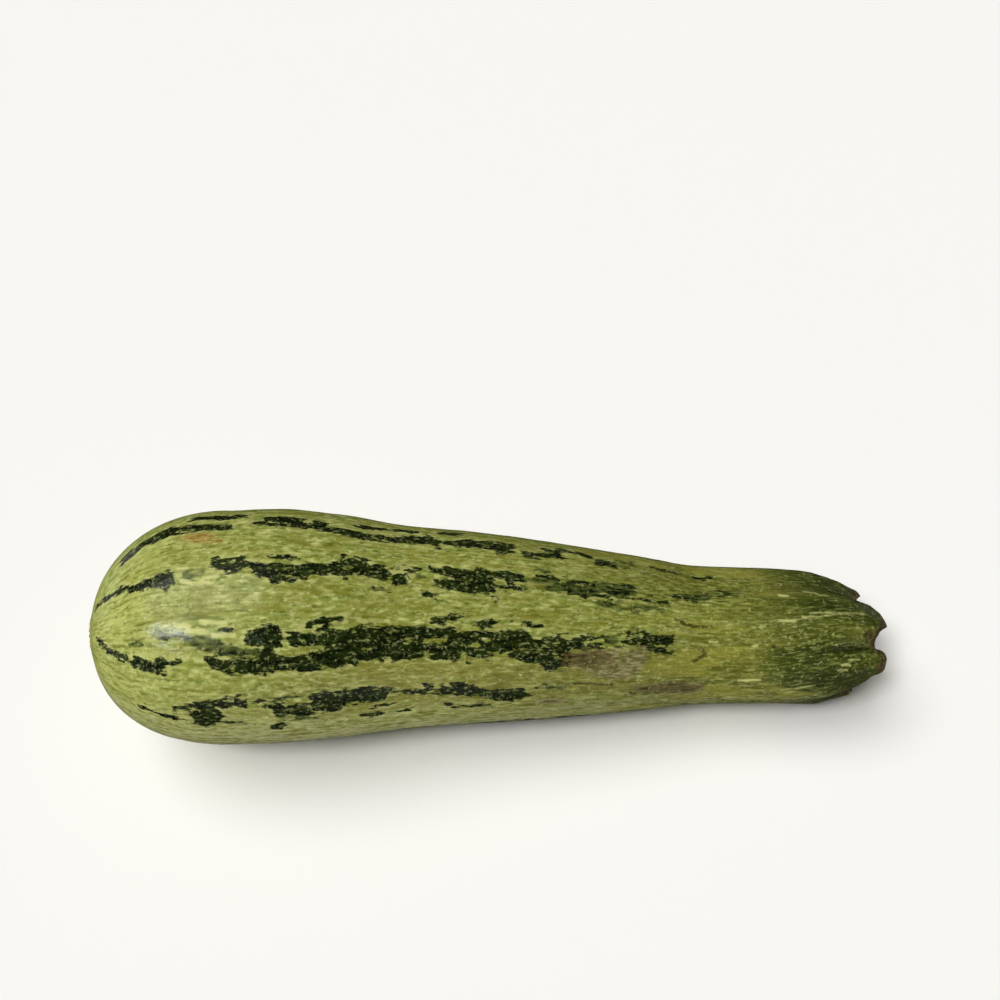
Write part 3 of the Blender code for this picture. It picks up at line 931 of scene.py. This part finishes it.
# Paler underside, partly its own colour and partly a painted reflection of the floor
UNDERSIDE_PALE_AND_REFLECTION = srgb(184, 184, 140)
STEM_DARK = srgb(30, 39, 4)
STEM_MID = srgb(60, 72, 15)
STEM_PALE = srgb(142, 147, 80)
STRIPE_DARK = srgb(10, 18, 4)
STRIPE_MID = srgb(40, 54, 16)
STRIPE_PALE = srgb(86, 98, 46)
SPECK = srgb(126, 136, 88)
RUST = srgb(134, 92, 34)
RUST_PALE = srgb(176, 150, 84)
SCUFF_PALE = srgb(156, 147, 108)
SCUFF_DARK = srgb(84, 77, 44)
STAIN = srgb(48, 42, 12)
STAIN_PALE = srgb(100, 88, 46)
NICK = srgb(50, 46, 14)
LIP = srgb(46, 36, 12)
LIP_PALE = srgb(96, 80, 38)
SCAR_DARK = srgb(84, 68, 38)
SCAR_PALE = srgb(164, 146, 102)
FLESH = srgb(182, 181, 114)
FLESH_PALE = srgb(212, 210, 156)
FLESH_DARK = srgb(156, 144, 84)
FLESH_GREEN = srgb(108, 118, 56)

# Grains of the skin's pattern: length along the fruit and width across it, in millimetres
WEAVE = (3.3, 0.80)
STITCHES = (1.5, 0.70)
FINE = (2.1, 0.70)
FURROWS = (16.0, 1.10)
THREADS = (9.0, 0.80)
FLECKS = (1.3, 0.80)
TINT = (6.0, 2.0)
BROAD = (22.0, 6.0)
BLOCKS = (3.0, 1.15)
RAGGED = (2.4, 0.90)
SPECKS = (1.25, 0.66)
DASHES = (3.4, 0.62)
WARTS = (1.6, 1.15)


def lay_base(paint):
    """Yellow-green, woven of short pale and dark streaks, with long olive furrows and pale flecks; painted
    shade along the lower side; and over their own tones, painted light on the paler blossom end, a painted
    reflection on the paler underside and painted shade on the darker neck.
    """
    paint.colour = paint.mix(paint.rise(paint.weave, 0.24, 0.60), BASE_DEEP, BASE_MID)
    paint.cover(BASE_PALE, paint.rise(paint.fine, 0.42, 0.76, 0.90))
    paint.cover(OLIVE, paint.rise(paint.tint, 0.44, 0.66, 0.45))
    broad = paint.grain(BROAD, 2.0, 3.0)
    streaks = paint.grain(THREADS, 2.0, 53.0)
    paint.cover(OLIVE, paint.rise(broad, 0.50, 0.70, 0.4))
    paint.cover(OLIVE, paint.rise(paint.grain(FURROWS, 1.0, 31.0), 0.52, 0.68, 0.55))
    paint.cover(BASE_DEEP, paint.rise(streaks, 0.44, 0.30, 0.45))
    paint.cover(FLECK, paint.rise(paint.grain(FLECKS, 1.0, 37.0), 0.66, 0.78, 0.7))
    streaky = paint.rise(paint.blend(paint.fine, streaks, 0.55), 0.36, 0.62, 0.75)
    # Paler blossom end, partly painted light
    paint.cover(BLOSSOM_PALE_AND_LIGHT, paint.times(paint.field("blossom"), streaky))
    # Paler underside, partly a painted reflection of the floor
    paint.cover(UNDERSIDE_PALE_AND_REFLECTION, paint.times(paint.field("under"), streaky))
    # Painted shade along the lower side, woven into the grain
    woven = paint.rise(paint.weave, 0.74, 0.36, 0.5)
    paint.cover(LOW_SIDE_SHADE, paint.times(paint.field("low"), woven))
    neck = paint.field("neck")
    # Olive neck, darkened further by painted shade
    paint.cover(NECK_OLIVE_AND_SHADE, paint.times(neck, paint.rise(paint.weave, 0.80, 0.30)))
    paint.cover(NECK_YELLOW, paint.times(neck, paint.rise(broad, 0.50, 0.36, 0.45)))


def lay_stem(paint):
    """Dark green towards the cut, with pale warts and dashes, and painted shade in the grooves and at a few
    soft spots.
    """
    dark = paint.mix(paint.rise(paint.weave, 0.30, 0.62), STEM_DARK, STEM_MID)
    dark = paint.mix(paint.rise(paint.grain(DASHES, 2.0, 43.0), 0.52, 0.68, 0.7), dark, STEM_PALE)
    paint.cover(dark, paint.patch("stem", 0.15, 0.80, 0.92, 0.9))
    warts = paint.rise(paint.blend(paint.dots(WARTS, 5.0), paint.ragged, 0.4), 0.44, 0.28, 0.75)
    paint.cover(STEM_PALE, paint.times(warts, paint.field("warts")))
    # Painted shade in the grooves and at the shade spots
    paint.cover(STEM_DARK, paint.times(paint.field("groove"), 0.75))


def lay_stripes(paint):
    """Dark stripes with blocky torn edges and pale specks, washed-out ones, and paler skin beside."""
    beside = paint.rise(paint.field("stripe"), -1.8, -0.2)
    halo = paint.times(beside, paint.rise(paint.tint, 0.46, 0.64, 0.5))
    halo = paint.times(halo, paint.rise(paint.field("neck"), 0.60, 0.10))
    paint.cover(BASE_PALE, halo)
    torn = paint.sum(paint.times(paint.blocks, 1.1), paint.sum(paint.times(paint.ragged, 3.2), -2.05))
    worn = paint.sum(torn, paint.times(paint.sum(paint.tint, -0.5), 2.2))
    dark = paint.rise(paint.sum(paint.field("stripe"), worn), -0.34, 0.28)
    ink = paint.mix(paint.rise(paint.weave, 0.36, 0.74), STRIPE_DARK, STRIPE_MID)
    dotted = paint.blend(paint.grain(SPECKS, 2.0, 19.0), paint.fine, 0.4)
    ink = paint.mix(paint.rise(dotted, 0.54, 0.66, 0.75), ink, SPECK)
    paint.cover(ink, dark)
    washed = paint.rise(paint.sum(paint.field("faint"), torn), -0.4, 0.5)
    faint = paint.mix(paint.rise(paint.weave, 0.36, 0.62), STRIPE_DARK, STRIPE_PALE)
    paint.cover(faint, paint.times(washed, paint.rise(paint.tint, 0.78, 0.50, 0.90)))


def lay_marks(paint):
    """Rust, scuffs, stains, nicks, painted shade along the fold, and pale scratches with painted highlights
    among them, each where it shows on the fruit.
    """
    rusty = paint.mix(paint.rise(paint.fine, 0.38, 0.68), RUST, RUST_PALE)
    paint.cover(rusty, paint.patch("rust", 0.10, 0.75, 0.75, 1.4))
    scuffed = paint.mix(paint.rise(paint.fine, 0.40, 0.64), SCUFF_DARK, SCUFF_PALE)
    paint.cover(scuffed, paint.patch("scuff", -0.30, 0.90, 0.75, 6.0))
    stained = paint.mix(paint.rise(paint.weave, 0.36, 0.64), STAIN, STAIN_PALE)
    paint.cover(stained, paint.patch("stain", -0.30, 0.90, 0.80, 6.5))
    paint.cover(NICK, paint.patch("nick", -0.20, 0.35, 0.85, 3.0))
    paint.cover(STEM_DARK, paint.patch("fold_shade", -0.60, 0.70, 0.85, 3.0))
    # Pale scratches, with painted highlights among them
    paint.cover(BASE_PALE, paint.patch("pale_mark_and_highlight", -0.20, 0.40, 0.75, 1.0))


def lay_ends(paint):
    """The dried brown lip of the cut, the blossom scar and the cut flesh."""
    dried = paint.mix(paint.rise(paint.flesh_grain(0.8), 0.42, 0.66), LIP, LIP_PALE)
    paint.cover(dried, paint.patch("lip", 0.30, 0.80, 0.92, 0.9))
    scar = paint.torn("scar", paint.flesh_grain(0.9), 1.6)
    cork = paint.mix(paint.rise(paint.flesh_grain(0.6), 0.36, 0.62), SCAR_DARK, SCAR_PALE)
    paint.cover(BASE_PALE, paint.rise(scar, 0.10, 0.60, 0.6))
    paint.cover(SCAR_DARK, paint.rise(scar, 0.50, 0.66, 0.9))
    paint.cover(cork, paint.rise(scar, 0.84, 1.02, 0.9))
    share = paint.torn("share", paint.flesh_grain(1.6), 0.35)
    inner = paint.mix(paint.rise(paint.flesh_grain(0.5), 0.35, 0.65), FLESH, FLESH_PALE)
    inner = paint.mix(paint.rise(paint.flesh_grain(3.5), 0.45, 0.65, 0.5), inner, FLESH_DARK)
    ring = paint.times(paint.rise(share, 0.56, 0.66), paint.rise(share, 0.88, 0.76))
    fibres = paint.rise(paint.flesh_grain(0.8), 0.48, 0.62, 0.8)
    inner = paint.mix(paint.times(ring, fibres), inner, FLESH_GREEN)
    inner = paint.mix(paint.rise(share, 0.83, 0.94, 0.92), inner, dried)
    paint.cover(inner, paint.field("flesh"))


# How far the skin's long lines wander, and over what length, in millimetres
WAVINESS = 0.7
WAVELENGTH = 30.0
STITCH_SHARE = 0.25
# Roughness and gloss of the wax, and the bump of its grain in metres
WAX_ROUGH = 0.24
STEM_DULL = 0.22
LIP_DULL = 0.25
SCUFF_DULL = 0.22
GLOSS = 0.16
BUMP_STRENGTH = 0.28
BUMP_HEIGHT = 0.0004


def skin_material():
    """Waxy striped skin, with the scar at one end of it and the cut at the other."""
    paint = Paint("zucchini_skin")
    paint.lay_skin(WAVINESS, WAVELENGTH)
    paint.weave = paint.blend(paint.grain(WEAVE, 3.0), paint.cells(STITCHES, 3.0), STITCH_SHARE)
    paint.fine = paint.blend(paint.grain(FINE, 3.0, 7.0), paint.cells(STITCHES, 13.0), STITCH_SHARE)
    paint.tint = paint.grain(TINT, 1.0, 23.0)
    paint.blocks = paint.cells(BLOCKS)
    paint.ragged = paint.grain(RAGGED, 2.0, 11.0)
    for lay in (lay_base, lay_stem, lay_stripes, lay_marks, lay_ends):
        lay(paint)
    paint.feed(paint.shader.inputs["Base Color"], paint.colour)
    stem_dull = paint.times(paint.field("stem"), STEM_DULL)
    dull = paint.sum(stem_dull, paint.times(paint.field("lip"), LIP_DULL))
    dull = paint.sum(dull, paint.rise(paint.field("scuff"), -0.6, 0.8, SCUFF_DULL))
    rough = paint.sum(dull, paint.rise(paint.weave, -1.4, 1.0, WAX_ROUGH))
    paint.feed(paint.shader.inputs["Roughness"], rough)
    paint.shader.inputs["Specular IOR Level"].default_value = GLOSS
    height = paint.blend(paint.weave, paint.fine, 0.4)
    bump_inputs = {"Height": height, "Strength": BUMP_STRENGTH, "Distance": BUMP_HEIGHT}
    bump = paint.node("ShaderNodeBump", 0, bump_inputs)
    paint.feed(paint.shader.inputs["Normal"], bump)
    return paint.material


# Camera
CAMERA_PLACE = (0.0016, -0.1318, 0.2755)
CAMERA_TILT = 35.0  # degrees from straight down, towards +Y
CAMERA_LENS = 38.16  # mm
CAMERA_SENSOR = 36.0  # mm
# Lights: the direction each comes from, its strength, its width in degrees and its colour
SKY = ((-0.40, 0.12, 0.91), 1.6, 40.0, (1.0, 0.99, 0.96))
KEY = ((-0.40, -0.31, 0.86), 1.8, 16.0, (1.0, 0.98, 0.94))
WINDOW = ((-0.46, -0.46, 0.76), 2.3, 13.0, (0.92, 0.96, 1.0))
WORLD_COLOUR = (1.0, 0.985, 0.93, 1.0)
# Brightness of the surroundings by height, from -1 straight down to 1 straight up
WORLD_LIGHT = ((-1.0, 0.06), (-0.40, 0.08), (-0.16, 0.75), (0.04, 0.80), (0.28, 0.10), (1.0, 0.06))
# Floor and dark card: half the one's breadth, the other's distance and corners, colour and roughness
FLOOR_HALF = 20.0
FLOOR_PAINT = ((0.92, 0.92, 0.92, 1.0), 0.85)
FLAG_AWAY = 0.30
FLAG_CORNERS = ((-0.35, -0.40), (0.35, 0.13))
FLAG_PAINT = ((0.02, 0.025, 0.012, 1.0), 1.0)


def add_camera():
    """The camera that the photo was taken with, as it was worked out."""
    data = bpy.data.cameras.new("camera")
    data.lens = CAMERA_LENS
    data.sensor_width = CAMERA_SENSOR
    camera = add_object("camera", data)
    camera.location = CAMERA_PLACE
    camera.rotation_euler = (np.radians(CAMERA_TILT), 0.0, 0.0)
    bpy.context.scene.camera = camera


def add_sun(name, direction, strength, angle, colour, diffuse=True, glossy=True):
    """An even light from one direction, as soft as a lamp that looks that many degrees wide."""
    data = bpy.data.lights.new(name, "SUN")
    data.energy = strength
    data.angle = np.radians(angle)
    data.color = colour
    light = add_object(name, data)
    light.visible_diffuse = diffuse
    light.visible_glossy = glossy
    light.rotation_euler = Vector(direction).to_track_quat("Z", "Y").to_euler()


def add_lights():
    """A broad light from overhead, a smaller one without gloss, and a window that only gloss shows."""
    add_sun("sky", *SKY)
    add_sun("key", *KEY, glossy=False)
    add_sun("window", *WINDOW, diffuse=False)


def add_world():
    """Pale surroundings that are bright at the horizon and dim overhead."""
    world = bpy.data.worlds.new("studio")
    nodes = Nodes(world)
    place = nodes.node("ShaderNodeTexCoord", "Generated", {})
    upward = nodes.node("ShaderNodeSeparateXYZ", "Z", {"Vector": place})
    share = nodes.node("ShaderNodeMath", 0, {0: upward, 1: 0.5, 2: 0.5}, operation="MULTIPLY_ADD")
    light = nodes.node("ShaderNodeFloatCurve", 0, {"Value": share})
    mapping = light.node.mapping
    curve = mapping.curves[0]
    curve.points[0].location = (0.0, WORLD_LIGHT[0][1])
    curve.points[1].location = (1.0, WORLD_LIGHT[-1][1])
    for height, brightness in WORLD_LIGHT[1:-1]:
        curve.points.new((height + 1) / 2, brightness)
    mapping.update()
    background = nodes.tree.nodes["Background"]
    background.inputs["Color"].default_value = WORLD_COLOUR
    nodes.feed(background.inputs["Strength"], light)
    bpy.context.scene.world = world


def add_card(name, corners, colour, roughness):
    """A plain flat sheet with four corners."""
    mesh = bpy.data.meshes.new(name)
    mesh.from_pydata(corners, [], [(0, 1, 2, 3)])
    paint = Paint(name)
    paint.shader.inputs["Base Color"].default_value = colour
    paint.shader.inputs["Roughness"].default_value = roughness
    mesh.materials.append(paint.material)
    return add_object(name, mesh)


def add_floor():
    """A pale floor that the fruit lies on and doesn't reflect."""
    half = FLOOR_HALF
    corners = [(-half, -half, 0.0), (half, -half, 0.0), (half, half, 0.0), (-half, half, 0.0)]
    floor = add_card("floor", corners, *FLOOR_PAINT)
    floor.visible_glossy = False


def add_flag():
    """A dark card beyond the far side, as a photographer sets one, which only reflections show."""
    (left, low), (right, high) = FLAG_CORNERS
    corners = [(x, FLAG_AWAY, z) for x, z in ((left, low), (right, low), (right, high), (left, high))]
    flag = add_card("flag", corners, *FLAG_PAINT)
    flag.visible_camera = False
    flag.visible_diffuse = False
    flag.visible_shadow = False


bpy.context.scene.view_settings.view_transform = "Standard"
add_camera()
add_lights()
add_world()
add_floor()
add_flag()
fruit = make_fruit()
fruit.data.materials.append(skin_material())
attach(fruit, "root")
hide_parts(NODE)
